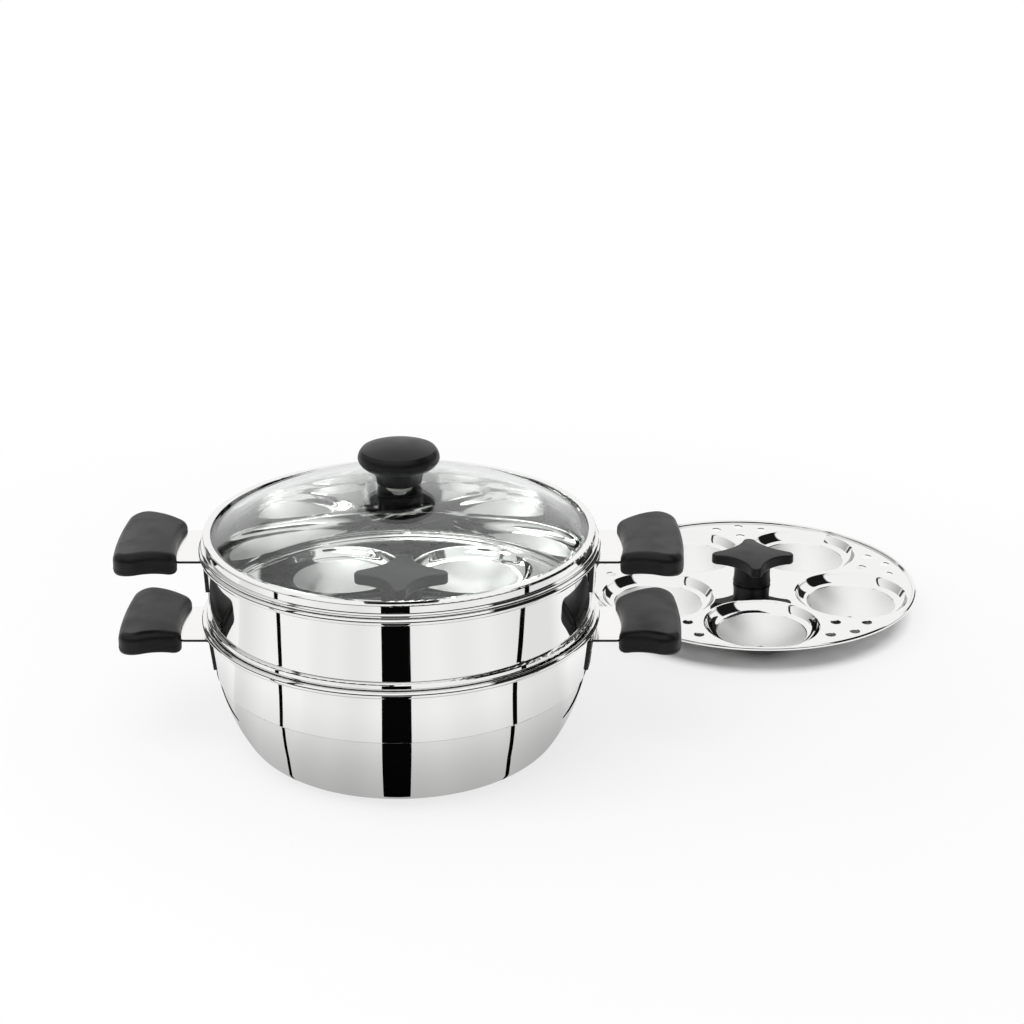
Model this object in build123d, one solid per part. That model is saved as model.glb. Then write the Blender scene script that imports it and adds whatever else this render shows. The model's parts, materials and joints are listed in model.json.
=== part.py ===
from build123d import *
from math import acos, asin, atan2, cos, degrees, hypot, pi, radians, sin, sqrt
import os

# Idli steamer, 24 cm across its rims: a kadai pot, a perforated steamer pan that sits in the
# pot's mouth, an idli plate inside the pan, a glass lid on it, and a second plate beside them.
# Millimetres. The origin is the centre of the pot's base, +Z up, handles along X, front at -Y.

# Sheet gauges
pot_sheet = 0.8
plate_sheet = 0.6
bracket_sheet = 1.5
ring_sheet = 0.7
glass_thickness = 4.0

# Clearances
seat_gap = 0.3
shank_gap = 0.05
slot_gap = 0.15
overrun = 5.0
past_axis_degrees = 2.0

# Rolled rim, the same on the pot and on the steamer pan
rim_radius = 120.0
rim_roll = 4.2
rim_roll_degrees = 290.0
mouth_radius = rim_radius - rim_roll
roll_centre_radius = rim_radius - rim_roll / 2

# Pot: flat base, curved bowl, a small pressed step and a flared wall
pot_height = 85.0
pot_wall_height = 34.6
pot_wall_flare = 3.4
bowl_inset = 22.0
bowl_section_radius = 115.0
bowl_foot_fillet = 18.0
pressed_step = 0.6
base_ring_inset = 24.0
base_ring_width = 3.0
base_ring_rise = 0.7

# Steamer pan: upper wall, rounded shoulder that rests on the pot's rim, lower band, bottom
pan_wall_height = 43.0
shoulder_inset = 1.0
shoulder_roll = 3.0
shoulder_proud = 1.9
shoulder_fillet = 1.0
band_clearance = 5.3
band_throat_fillet = 1.4
pan_bottom_fillet = 6.0
steam_gap = 3.9
annulus_inset = 33.5
annulus_step = 1.5

# Steam holes in the pan's bottom: radius of each ring as a share of the bottom, with its count
steam_hole_diameter = 3.4
steam_ring_shares = ((0.185, 6), (0.37, 12), (0.555, 18), (0.765, 24), (0.895, 27))

# Idli plate: flat web, raised rolled rim, five stepped cups, a diamond of holes between cups
plate_clearance = 1.2
plate_roll = 2.8
plate_rim_rise = 0.8
plate_roll_degrees = 260.0
cup_count = 5
cup_web = 3.0
cup_edge_web = 0.4
cup_lip_fillet = 1.3
cup_lip_degrees = 60.0
cup_depth = 17.5
cup_ledge_depth = 6.0
cup_ledge_share = 0.77
cup_wall_bulge_share = 0.13
cup_pinhole_diameter = 1.6
cup_pinhole_share = 0.70
vent_diameter = 7.0
vent_shares = ((0.745, 0.0), (0.868, 9.7), (0.868, -9.7), (0.906, 0.0))

# Second plate, standing on its own cups behind and to the right of the pot
spare_side = 233.8
spare_back = 193.0

# Star knob of a plate
star_reach = 28.2
star_valley = 16.6
star_tip_radius = 4.4
star_thickness = 8.0
star_crown = 1.4
star_edge_fillet = 1.3
star_stem_radius = 13.0
star_stem_height = 14.5
star_stem_waist = 0.6
star_foot_fillet = 1.4
star_bury_share = 0.25
star_points = 4

# Fasteners of the knobs
knob_screw_radius = 2.5
knob_screw_head_radius = 4.6
knob_screw_head_height = 2.6
knob_screw_reach = 9.0
washer_radius = 7.0
washer_thickness = 1.0
insert_radius = 4.2
insert_length = 9.5
insert_groove_width = 1.1
insert_groove_depth = 0.4
insert_groove_shares = (0.33, 0.67)
recess_width = 1.1
recess_span_share = 1.1
recess_depth_share = 0.6
shank_taper_share = 0.25

# Handle brackets: a tab that lies on the wall, a bend under the rim and a flat tongue. The pot's
# tongues lie lower under its rim than the pan's do.
tongue_width = 49.0
pot_tongue_drop = 6.7
pan_tongue_drop = 0.5
tongue_tip_width = 24.0
tongue_corner_share = 0.25
tongue_depth = 25.0
tab_height = 19.3
bracket_bend = 1.7
weld_dimple_radius = 2.2
weld_dimple_depth = 0.35
weld_spread_share = 0.31
weld_level_share = 0.6

# Handle grips: fan-shaped in plan with a hollow inner end, arched in section, rising outwards
grip_gap = 9.5
grip_reach = 36.0
grip_bow = 3.5
grip_hollow = 3.6
grip_cheek = 4.0
grip_fan = 14.0
grip_thickness = 13.4
grip_arch = 4.0
grip_rise = 2.0
grip_inner_fillet = 7.0
grip_outer_fillet = 11.0
grip_top_fillet = 5.4
grip_bottom_fillet = 2.6

# Grip screws, from below through the tongue
grip_screw_radius = 2.0
grip_screw_head_radius = 3.6
grip_screw_head_height = 2.0
grip_screw_place = 13.0
grip_screw_bite = 2.4

# Lid: domed glass with a flat edge, pinched in a folded steel ring
lid_overhang = 0.8
lid_skirt_clearance = 1.3
lid_skirt_depth = 4.0
lid_bead = 2.4
lid_wall_height = 5.6
lid_wall_inset = 1.7
lid_lip_width = 4.4
glass_edge_width = 5.4
glass_edge_play = 0.35
glass_edge_lift = 0.15
glass_blend = 7.0
dome_rise = 28.5
glass_pad_radius = 8.0
glass_pad_thickness = 1.0
glass_hole_gap = 0.4

# Lid knob: a mushroom cap on a flared collar
cap_radius = 24.2
cap_height = 15.5
cap_neck_radius = 15.8
cap_brim_share = 0.36
cap_brim_bulge_share = 0.25
cap_side_share = 0.98
cap_shoulder_share = 0.74
cap_shoulder_radius_share = 0.9
collar_top_radius = 16.6
collar_foot_radius = 13.4
collar_height = 9.0
collar_fillet = 1.0
collar_groove = 0.6

# Heights and radii that follow from the sizes above
pot_roll_height = pot_height - rim_roll / 2
crease_radius = mouth_radius - pot_wall_flare
crease_height = pot_height - pot_wall_height

shoulder_centre_radius = roll_centre_radius - shoulder_inset - shoulder_roll
seat_reach = rim_roll / 2 + shoulder_roll + seat_gap
shoulder_height = pot_roll_height + sqrt(seat_reach**2 - (roll_centre_radius - shoulder_centre_radius) ** 2)
shoulder_bottom = shoulder_height - shoulder_roll
shoulder_radius = shoulder_centre_radius + shoulder_roll
pan_wall_radius = shoulder_radius - shoulder_proud
band_radius = mouth_radius - band_clearance
pan_rim_height = shoulder_height + pan_wall_height

ledge_height = shoulder_bottom + pot_sheet
plate_radius = pan_wall_radius - pot_sheet - plate_clearance
plate_roll_radius = plate_radius - plate_roll / 2
plate_below_web = plate_roll / 2 - plate_rim_rise
plate_height = ledge_height + seat_gap + plate_below_web
pan_floor_height = plate_height - cup_depth - plate_sheet - steam_gap
annulus_radius = band_radius - annulus_inset

web_flat_radius = plate_roll_radius - (plate_roll - plate_sheet) / 2 - plate_rim_rise
cup_circle = (web_flat_radius - cup_edge_web + cup_web / 2) / (1 + sin(pi / cup_count))
cup_lip_radius = cup_circle * sin(pi / cup_count) - cup_web / 2
spare_height = cup_depth + plate_sheet / 2

star_tip_centre = star_reach - star_tip_radius
star_valley_apothem = star_tip_centre * cos(pi / star_points)
star_valley_radius = (
    star_tip_centre**2 - 2 * star_valley_apothem * star_valley + star_valley**2 - star_tip_radius**2
) / (2 * (star_valley_apothem + star_tip_radius - star_valley))

lid_height = pan_rim_height + seat_gap
lid_radius = roll_centre_radius + lid_overhang
lid_wall_radius = lid_radius - lid_wall_inset
glass_radius = lid_wall_radius - ring_sheet - glass_edge_play
lid_lip_level = lid_bead - ring_sheet / 2 + lid_wall_height - ring_sheet / 2
glass_underside = lid_lip_level - ring_sheet / 2 - glass_edge_lift - glass_thickness
glass_flat_radius = glass_radius - glass_edge_width
dome_radius = (glass_flat_radius**2 + dome_rise**2) / (2 * dome_rise)


def line(start, end):
    """A straight edge between two (radius, height) points."""
    return Line(start, end)


def roll_arc(centre, radius, start_degrees, sweep_degrees):
    """A round edge about a (radius, height) centre; a negative sweep turns clockwise."""
    return CenterArc(centre, radius, start_degrees, sweep_degrees)


def tangent_degrees(point, centre, radius):
    """The angle, seen from the centre, at which a wall from the point touches the inner side of a roll."""
    away = degrees(atan2(point[1] - centre[1], point[0] - centre[0]))
    return away - degrees(acos(radius / hypot(point[0] - centre[0], point[1] - centre[1])))


def on_circle(centre, radius, angle_degrees):
    """The (radius, height) point at an angle on a circle."""
    turn = radians(angle_degrees)
    return (centre[0] + radius * cos(turn), centre[1] + radius * sin(turn))


def wall_and_roll(foot, centre, roll, sheet, sweep_degrees):
    """A straight wall from its foot that runs on, without a corner, into a rolled rim."""
    middle = (roll - sheet) / 2
    start = tangent_degrees(foot, centre, middle)
    return [line(foot, on_circle(centre, middle, start)), roll_arc(centre, middle, start, -sweep_degrees)]


def axis_arc(edge_radius, edge_height, axis_height, past_degrees=0):
    """An arc from a (radius, height) point to the axis, which it meets square, or a little past it."""
    rise = axis_height - edge_height
    radius = (edge_radius**2 + rise**2) / (2 * rise)
    centre = (0, axis_height - radius)
    start = degrees(asin(edge_radius / radius))
    points = [on_circle(centre, radius, 90 - turn) for turn in (start, start / 2, -past_degrees)]
    return ThreePointArc(*points)


def spun(path_edges, sheet):
    """Sheet metal of one gauge turned about Z, from the middle line of its section."""
    reach = 2 * rim_radius
    past_axis = Pos(-reach / 2, 0) * Rectangle(reach, 2 * reach)
    return revolve(Plane.XZ * (trace(path_edges, sheet) - past_axis), Axis.Z)


def disc(radius, bottom, top):
    """A solid disc about Z between two heights."""
    return Pos(0, 0, bottom) * Cylinder(radius, top - bottom, align=(Align.CENTER, Align.CENTER, Align.MIN))


def placed_round(shape, radius, count, start_degrees=0):
    """Copies of a shape, evenly spaced on a circle."""
    step = 360 / count
    return [Rot(0, 0, start_degrees + step * index) * Pos(radius, 0, 0) * shape for index in range(count)]


def cross_recess(head_radius, head_height):
    """The cross-shaped driver recess of a screw head whose top is at z = 0."""
    span = head_radius * recess_span_share
    width = recess_width
    depth = head_height * recess_depth_share
    slot = Box(span, width, depth, align=(Align.CENTER, Align.CENTER, Align.MIN))
    return slot + Rot(0, 0, 90) * slot


def upward_screw(shank_radius, head_radius, head_height, reach):
    """A pan-head screw whose head hangs below z = 0 and whose shank goes up to the reach."""
    head = disc(head_radius, -head_height, 0)
    head = fillet(head.edges().group_by(Axis.Z)[0], head_height / 2)
    shank = disc(shank_radius, 0, reach)
    shank = chamfer(shank.edges().group_by(Axis.Z)[-1], shank_radius * shank_taper_share)
    return head + shank - Pos(0, 0, -head_height) * cross_recess(head_radius, head_height)


def washer(outer_radius, inner_radius, thickness):
    """A flat washer that hangs below z = 0."""
    return disc(outer_radius, -thickness, 0) - disc(inner_radius, -thickness - overrun, overrun)


def knurled_insert():
    """The threaded insert moulded into a knob, with two gripping grooves, standing on z = 0."""
    body = disc(insert_radius, 0, insert_length)
    groove = washer(insert_radius + overrun, insert_radius - insert_groove_depth, insert_groove_width)
    for share in insert_groove_shares:
        body -= Pos(0, 0, insert_length * share) * groove
    return body - disc(knob_screw_radius + shank_gap, -overrun, insert_length + overrun)


def insert_pocket():
    """What a knob leaves free for its insert and for the tip of the screw."""
    length = max(insert_length, knob_screw_reach + shank_gap)
    return disc(insert_radius, 0, insert_length) + disc(knob_screw_radius + shank_gap, 0, length)


# Pot

def pot_wall_foot():
    """Where the pot's flared wall starts, above the pressed step."""
    return (crease_radius + pressed_step - pot_sheet / 2, crease_height + pressed_step)


def pot_shell():
    """The pot: base with a pressed ring, bowl, step, flared wall and rolled rim."""
    level = pot_sheet / 2
    foot_radius = crease_radius - bowl_inset
    ring_outer = foot_radius - base_ring_inset
    ring_inner = ring_outer - base_ring_width
    crease = (crease_radius - pot_sheet / 2, crease_height)
    base = Polyline(
        (-overrun, level), (ring_inner, level), (ring_inner + base_ring_rise, level + base_ring_rise),
        (ring_outer - base_ring_rise, level + base_ring_rise), (ring_outer, level), (foot_radius, level),
    )
    bowl = RadiusArc((foot_radius, level), crease, -bowl_section_radius)
    foot = Wire([*base.edges(), *bowl.edges()])
    corner = min(foot.vertices(), key=lambda vertex: hypot(vertex.X - foot_radius, vertex.Y - level))
    foot = foot.fillet_2d(bowl_foot_fillet, [corner])
    centre = (roll_centre_radius, pot_roll_height)
    wall = wall_and_roll(pot_wall_foot(), centre, rim_roll, pot_sheet, rim_roll_degrees)
    return spun([*foot.edges(), line(crease, pot_wall_foot()), *wall], pot_sheet)


# Steamer pan

def pan_wall_foot():
    """Where the pan's upper wall starts, above the shoulder."""
    return (pan_wall_radius - pot_sheet / 2, shoulder_height + shoulder_roll + shoulder_fillet)


def pan_shell():
    """The steamer pan: stepped bottom, lower band, rounded shoulder, upper wall and rolled rim."""
    floor = pan_floor_height + pot_sheet / 2
    band = band_radius - pot_sheet / 2
    shoulder = shoulder_bottom + pot_sheet / 2
    outer = shoulder_radius - pot_sheet / 2
    top = shoulder_height + shoulder_roll - pot_sheet / 2
    roll = shoulder_roll - pot_sheet / 2
    foot = pan_wall_foot()
    path = FilletPolyline(
        (-overrun, floor), (annulus_radius, floor), (annulus_radius + annulus_step, floor + annulus_step),
        (band, floor + annulus_step), (band, shoulder), (outer, shoulder), (outer, top), (foot[0], top), foot,
        radius=[shoulder_fillet, shoulder_fillet, pan_bottom_fillet, band_throat_fillet, roll,
                shoulder_proud / 2, shoulder_fillet / 2],
    )
    centre = (roll_centre_radius, pan_rim_height - rim_roll / 2)
    wall = wall_and_roll(foot, centre, rim_roll, pot_sheet, rim_roll_degrees)
    return spun([*path.edges(), *wall], pot_sheet)


def steam_holes():
    """The cutters of the steam holes, in rings whose neighbours are staggered."""
    reach = annulus_step + pot_sheet + overrun
    hole = disc(steam_hole_diameter / 2, pan_floor_height - overrun, pan_floor_height + reach)
    cutters = []
    for index, (share, count) in enumerate(steam_ring_shares):
        cutters += placed_round(hole, band_radius * share, count, 180 / count * (index % 2))
    return cutters


def steamer_pan():
    """The steamer pan with its steam holes."""
    return pan_shell() - steam_holes()


# Handles, drawn on the +X side with the tongue's upper face at z = 0

def tongue_level(rim_height, drop):
    """The height of a tongue's upper face under a rim."""
    return rim_height - rim_roll - drop


def wall_slope(foot, rim_height, level):
    """A wall under its rim as the middle line of a tab that lies on it, with the level at z = 0."""
    centre = (roll_centre_radius, rim_height - rim_roll / 2)
    middle = (rim_roll - pot_sheet) / 2
    top = on_circle(centre, middle, tangent_degrees(foot, centre, middle))
    turn = atan2(top[1] - foot[1], top[0] - foot[0])
    shift = (pot_sheet + bracket_sheet) / 2
    return [(point[0] + shift * sin(turn), point[1] - shift * cos(turn) - level) for point in (foot, top)]


def along(points, height):
    """The point at a height on the straight line through two points."""
    (radius_a, height_a), (radius_b, height_b) = points
    return (radius_a + (radius_b - radius_a) * (height - height_a) / (height_b - height_a), height)


def tongue_outline(grow=0):
    """The tongue's plan: full width up to the grip, then tapering inside it."""
    start = rim_radius + bracket_bend
    grip_face = rim_radius + grip_gap
    tip = grip_face + tongue_depth + grow
    half = tongue_width / 2 + grow
    tip_half = tongue_tip_width / 2 + grow
    points = [(start, -half), (grip_face, -half), (tip, -tip_half), (tip, tip_half), (grip_face, half), (start, half)]
    face = make_face(Polyline(*points, close=True))
    return fillet(face.vertices().group_by(Axis.X)[-1], tongue_tip_width * tongue_corner_share)


def bracket(foot, rim_height, drop):
    """A handle bracket: curved tab on the wall, bend, and tongue with its screw hole."""
    outer_face = wall_slope(foot, rim_height, tongue_level(rim_height, drop))
    level = -bracket_sheet / 2
    start = rim_radius + bracket_bend
    flange_radius = hypot(start, tongue_width / 2) + bracket_bend
    path = FilletPolyline(
        along(outer_face, level - tab_height), along(outer_face, level), (flange_radius, level),
        radius=bracket_bend + bracket_sheet / 2,
    )
    turned = spun(path.edges(), bracket_sheet)
    window = Pos(rim_radius, 0, level) * Box(rim_radius, tongue_width, 2 * tab_height + overrun)
    tongue = Pos(0, 0, level - bracket_sheet / 2) * extrude(tongue_outline(), bracket_sheet)
    strap = (turned & window) + tongue
    screw_hole = disc(grip_screw_radius + shank_gap, -overrun - tab_height, overrun)
    strap -= Pos(rim_radius + grip_gap + grip_screw_place, 0, 0) * screw_hole
    weld_level = level - tab_height * weld_level_share
    face_radius = along(outer_face, weld_level)[0] + bracket_sheet / 2
    dimple_ball = (weld_dimple_radius**2 + weld_dimple_depth**2) / (2 * weld_dimple_depth)
    dimple = Pos(dimple_ball - weld_dimple_depth, 0, 0) * Sphere(dimple_ball)
    for side in (-1, 1):
        turn = degrees(asin(tongue_width * weld_spread_share / face_radius)) * side
        strap -= Rot(0, 0, turn) * Pos(face_radius, 0, weld_level) * dimple
    return strap


def grip_section():
    """The grip's arched section in the plane of its radius, closed by upright ends."""
    inner = rim_radius + grip_gap
    outer = inner + grip_reach + grip_bow
    middle = (inner + outer) / 2
    bottom = -bracket_sheet / 2 - grip_thickness / 2 - grip_arch / 2
    top = bottom + grip_thickness
    under = ThreePointArc(
        (inner, bottom), (middle, bottom + grip_rise / 2 + grip_arch), (outer, bottom + grip_rise))
    over = ThreePointArc(
        (inner, top), (middle, top + grip_rise / 2 + grip_arch), (outer, top + grip_rise))
    return make_face([under, line(under @ 1, over @ 1), over, line(over @ 0, under @ 0)])


def grip_plan():
    """The grip's plan: hollow inner end, flanks that fan out and a bowed outer end."""
    inner = rim_radius + grip_gap
    outer = inner + grip_reach
    inner_half = tongue_width / 2 + grip_cheek
    outer_half = inner_half + grip_fan
    bow = ThreePointArc((outer, -outer_half), (outer + grip_bow, 0), (outer, outer_half))
    hollow = ThreePointArc((inner, inner_half), (inner + grip_hollow, 0), (inner, -inner_half))
    face = make_face([
        line((inner, -inner_half), (outer, -outer_half)), bow, line((outer, outer_half), (inner, inner_half)), hollow,
    ])
    face = fillet(face.vertices().group_by(Axis.X)[0], grip_inner_fillet)
    return fillet(face.vertices().sort_by(lambda vertex: abs(vertex.Y))[-2:], grip_outer_fillet)


def screw_seat_height():
    """The height of the screw head's upper face, inside the grip's underside."""
    return -bracket_sheet - slot_gap - grip_screw_bite


def grip():
    """A moulded grip with its tongue slot and the hole and counterbore of its screw."""
    half = tongue_width + grip_cheek + grip_fan
    section = extrude(Plane.XZ * grip_section(), half, both=True)
    plan = Pos(0, 0, -2 * grip_thickness) * extrude(grip_plan(), 4 * grip_thickness)
    body = section & plan
    split = body.bounding_box().center().Z - grip_arch
    for radius, is_upper in ((grip_top_fillet, True), (grip_bottom_fillet, False)):
        outline = [
            edge for edge in body.edges()
            if edge.bounding_box().size.Z < grip_thickness / 2 and (edge.center().Z > split) == is_upper
        ]
        body = fillet(outline, radius)
    slot_thickness = bracket_sheet + 2 * slot_gap
    slot = Pos(0, 0, -bracket_sheet - slot_gap) * extrude(tongue_outline(slot_gap), slot_thickness)
    body -= slot
    place = Pos(rim_radius + grip_gap + grip_screw_place, 0, 0)
    seat = screw_seat_height()
    body -= place * disc(grip_screw_radius + shank_gap, seat, grip_screw_bite)
    body -= place * disc(grip_screw_head_radius + slot_gap, seat - grip_thickness, seat)
    return body


def grip_screw():
    """The screw of a grip, in its place."""
    reach = grip_screw_bite + bracket_sheet + slot_gap + grip_screw_bite
    screw = upward_screw(grip_screw_radius, grip_screw_head_radius, grip_screw_head_height, reach - shank_gap)
    return Pos(rim_radius + grip_gap + grip_screw_place, 0, screw_seat_height()) * screw


# Idli plate, with the middle of its web at z = 0

def cup_profile():
    """The middle line of a cup's section: lip, bulging wall, ledge crease and dish."""
    lip = cup_lip_fillet + plate_sheet / 2
    ledge_radius = cup_lip_radius * cup_ledge_share
    lip_point = on_circle((cup_lip_radius, -lip), lip, 90 + cup_lip_degrees)
    ledge_point = (ledge_radius, -cup_ledge_depth)
    lip_arc = roll_arc((cup_lip_radius, -lip), lip, 90, cup_lip_degrees)
    chord_middle = ((lip_point[0] + ledge_point[0]) / 2, (lip_point[1] + ledge_point[1]) / 2)
    chord = (ledge_point[0] - lip_point[0], ledge_point[1] - lip_point[1])
    bulge = (
        chord_middle[0] - chord[1] * cup_wall_bulge_share,
        chord_middle[1] + chord[0] * cup_wall_bulge_share,
    )
    wall = ThreePointArc(lip_point, bulge, ledge_point)
    dish = axis_arc(ledge_radius, -cup_ledge_depth, -cup_depth, past_axis_degrees)
    return [*lip_arc.edges(), *wall.edges(), *dish.edges()]


def idli_plate():
    """An idli plate: web with a rolled rim, five cups, vents between them and the knob's hole."""
    centre = (plate_roll_radius, plate_rim_rise)
    middle = (plate_roll - plate_sheet) / 2
    rise = roll_arc((web_flat_radius, plate_rim_rise), plate_rim_rise, 270, 90)
    rim = roll_arc(centre, middle, 180, -plate_roll_degrees)
    web = spun([line((-overrun, 0), (web_flat_radius, 0)), *rise.edges(), *rim.edges()], plate_sheet)
    first = -90
    mouth = disc(cup_lip_radius, -overrun, overrun)
    web -= placed_round(mouth, cup_circle, cup_count, first)
    cup = spun(cup_profile(), plate_sheet)
    plate = web + placed_round(cup, cup_circle, cup_count, first)
    pinhole = disc(cup_pinhole_diameter / 2, -cup_depth - overrun, 0)
    plate -= [
        Pos(-cup_lip_radius * cup_pinhole_share, 0, 0) * Pos(place.position) * pinhole
        for place in PolarLocations(cup_circle, cup_count, first)
    ]
    vent = disc(vent_diameter / 2, -overrun, overrun)
    gap_middle = first + 180 / cup_count
    for share, offset in vent_shares:
        plate -= placed_round(vent, plate_radius * share, cup_count, gap_middle + offset)
    return plate - disc(knob_screw_radius + shank_gap, -overrun, overrun)


def star_outline():
    """The star's plan: rounded tips joined, without a corner, by hollow arcs."""
    valley_centre = on_circle((0, 0), star_valley + star_valley_radius, 180 / star_points)
    tip_half = degrees(atan2(valley_centre[1], valley_centre[0] - star_tip_centre))
    edges = []
    for turn in [360 / star_points * index for index in range(star_points)]:
        next_turn = turn + 360 / star_points
        tip = roll_arc(on_circle((0, 0), star_tip_centre, turn), star_tip_radius, turn - tip_half, 2 * tip_half)
        valley = on_circle((0, 0), star_valley, turn + 180 / star_points)
        next_centre = on_circle((0, 0), star_tip_centre, next_turn)
        next_start = on_circle(next_centre, star_tip_radius, next_turn - tip_half)
        edges += [tip, ThreePointArc(tip @ 1, valley, next_start)]
    return make_face(edges)


def star_knob():
    """The star knob of a plate, standing on the web's upper face at z = 0."""
    top = star_stem_height + star_thickness
    star = Pos(0, 0, star_stem_height) * extrude(star_outline(), star_thickness)
    crown_radius = (star_reach**2 + star_crown**2) / (2 * star_crown)
    star &= Pos(0, 0, top - crown_radius) * Sphere(crown_radius)
    star = fillet(star.edges().filter_by(GeomType.LINE, reverse=True).filter_by(
        lambda edge: edge.bounding_box().size.Z < star_thickness / 2), star_edge_fillet)
    waist = star_stem_radius - star_stem_waist
    foot = star_stem_radius - star_foot_fillet
    side = ThreePointArc(
        (star_stem_radius, star_foot_fillet), (waist, star_stem_height / 2), (star_stem_radius, star_stem_height))
    corner = roll_arc((foot, star_foot_fillet), star_foot_fillet, -90, 90)
    hidden = star_stem_height + star_thickness * star_bury_share
    section = make_face([
        line((0, 0), (foot, 0)), *corner.edges(), *side.edges(),
        line((star_stem_radius, star_stem_height), (star_stem_radius, hidden)),
        line((star_stem_radius, hidden), (0, hidden)), line((0, hidden), (0, 0)),
    ])
    stem = revolve(Plane.XZ * section, Axis.Z)
    return star + stem - insert_pocket()


def plate_set(prefix):
    """The pieces of one idli plate with its knob, with the middle of the web at z = 0."""
    above = Pos(0, 0, plate_sheet / 2)
    below = Pos(0, 0, -plate_sheet / 2)
    screw_length = washer_thickness + plate_sheet + knob_screw_reach
    screw = upward_screw(knob_screw_radius, knob_screw_head_radius, knob_screw_head_height, screw_length)
    return {
        f"{prefix}_idli_plate": idli_plate(),
        f"{prefix}_star_knob": above * star_knob(),
        f"{prefix}_knob_insert": above * knurled_insert(),
        f"{prefix}_knob_washer": below * washer(washer_radius, knob_screw_radius + shank_gap, washer_thickness),
        f"{prefix}_knob_screw": Pos(0, 0, -plate_sheet / 2 - washer_thickness) * screw,
    }


# Lid, with the underside of its bead at z = 0

def lid_ring():
    """The folded ring: lip over the glass, wall, bead on the rim, leg under the glass, inner skirt."""
    half = ring_sheet / 2
    wall = lid_wall_radius - half
    bead_middle = (lid_bead - ring_sheet) / 2
    bead_centre = (lid_radius - lid_bead / 2, lid_bead / 2)
    lip_level = lid_lip_level
    leg_level = glass_underside - glass_edge_lift - half
    channel = FilletPolyline(
        (lid_wall_radius - lid_lip_width, lip_level), (wall, lip_level), (wall, lid_bead / 2 + bead_middle),
        (bead_centre[0], lid_bead / 2 + bead_middle), radius=[ring_sheet, half],
    )
    bead = roll_arc(bead_centre, bead_middle, 90, -180)
    low = (mouth_radius - lid_skirt_clearance - half, half)
    skirt_top = line((bead_centre[0], half), low)
    skirt = line(low, (low[0], -lid_skirt_depth))
    riser_radius = low[0] - ring_sheet - half
    riser = line((riser_radius, -lid_skirt_depth), (riser_radius, leg_level))
    hem = line((low[0], -lid_skirt_depth), (riser_radius, -lid_skirt_depth))
    leg = line((riser_radius, leg_level), (lid_wall_radius - lid_lip_width, leg_level))
    return spun([*channel.edges(), *bead.edges(), skirt_top, skirt, hem, riser, leg], ring_sheet)


def lid_glass():
    """The domed glass with its flat edge and the hole for the knob's screw."""
    level = glass_underside + glass_thickness / 2
    apex = level + dome_rise
    flat = glass_flat_radius
    dome = axis_arc(flat, level, apex, past_axis_degrees)
    path = Wire([*dome.edges(), line((flat, level), (glass_radius, level)).edge()])
    corner = min(path.vertices(), key=lambda vertex: hypot(vertex.X - flat, vertex.Y - level))
    path = path.fillet_2d(glass_blend, [corner])
    glass = spun(path.edges(), glass_thickness)
    return glass - disc(knob_screw_radius + glass_hole_gap, 0, apex + glass_thickness)


def knob_cap(seat):
    """The mushroom cap of the lid knob above a seat height."""
    brim = cap_height * cap_brim_share
    bulge = brim * cap_brim_bulge_share
    shoulder = cap_height * cap_shoulder_share
    edge = cap_radius * cap_shoulder_radius_share
    under = ThreePointArc(
        (cap_neck_radius, 0), ((cap_neck_radius + cap_radius) / 2 + bulge, bulge), (cap_radius, brim))
    side = ThreePointArc(
        (cap_radius, brim), (cap_radius * cap_side_share, (brim + shoulder) / 2), (edge, shoulder))
    dome = axis_arc(edge, shoulder, cap_height)
    section = make_face([
        line((0, 0), (cap_neck_radius, 0)), *under.edges(), *side.edges(), *dome.edges(), line((0, cap_height), (0, 0)),
    ])
    cap = revolve(Plane.XZ * section, Axis.Z) - insert_pocket()
    return Pos(0, 0, seat) * cap


def knob_collar(seat):
    """The flared collar between the upper glass pad and the cap, hollow round the screw."""
    middle = (collar_top_radius + collar_foot_radius) / 2 - collar_groove
    side = ThreePointArc(
        (collar_foot_radius, 0), (middle, collar_height / 2), (collar_top_radius, collar_height - collar_fillet))
    top = roll_arc((collar_top_radius - collar_fillet, collar_height - collar_fillet), collar_fillet, 0, 90)
    section = make_face([
        line((0, 0), (collar_foot_radius, 0)), *side.edges(), *top.edges(),
        line((collar_top_radius - collar_fillet, collar_height), (0, collar_height)), line((0, collar_height), (0, 0)),
    ])
    collar = revolve(Plane.XZ * section, Axis.Z) - disc(knob_screw_radius + shank_gap, -overrun, 2 * collar_height)
    return Pos(0, 0, seat) * collar


def lid_set():
    """The pieces of the lid, with the underside of the ring's bead at z = 0."""
    apex_top = glass_underside + glass_thickness + dome_rise
    inner_dome = dome_radius - glass_thickness / 2
    pad_sag = inner_dome - sqrt(inner_dome**2 - glass_pad_radius**2)
    apex_under = apex_top - glass_thickness - pad_sag
    pad = washer(glass_pad_radius, knob_screw_radius + shank_gap, glass_pad_thickness)
    collar_seat = apex_top + glass_pad_thickness
    cap_seat = collar_seat + collar_height
    screw_seat = apex_under - glass_pad_thickness - washer_thickness
    screw_length = cap_seat - screw_seat + knob_screw_reach
    screw = upward_screw(knob_screw_radius, knob_screw_head_radius, knob_screw_head_height, screw_length)
    steel = washer(washer_radius, knob_screw_radius + shank_gap, washer_thickness)
    return {
        "lid_glass": lid_glass(),
        "lid_ring": lid_ring(),
        "lid_glass_pads": [Pos(0, 0, collar_seat) * pad, Pos(0, 0, apex_under) * pad],
        "lid_knob_collar": knob_collar(collar_seat),
        "lid_knob_cap": knob_cap(cap_seat),
        "lid_knob_insert": Pos(0, 0, cap_seat) * knurled_insert(),
        "lid_screw_washer": Pos(0, 0, screw_seat + washer_thickness) * steel,
        "lid_knob_screw": Pos(0, 0, screw_seat) * screw,
    }


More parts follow.
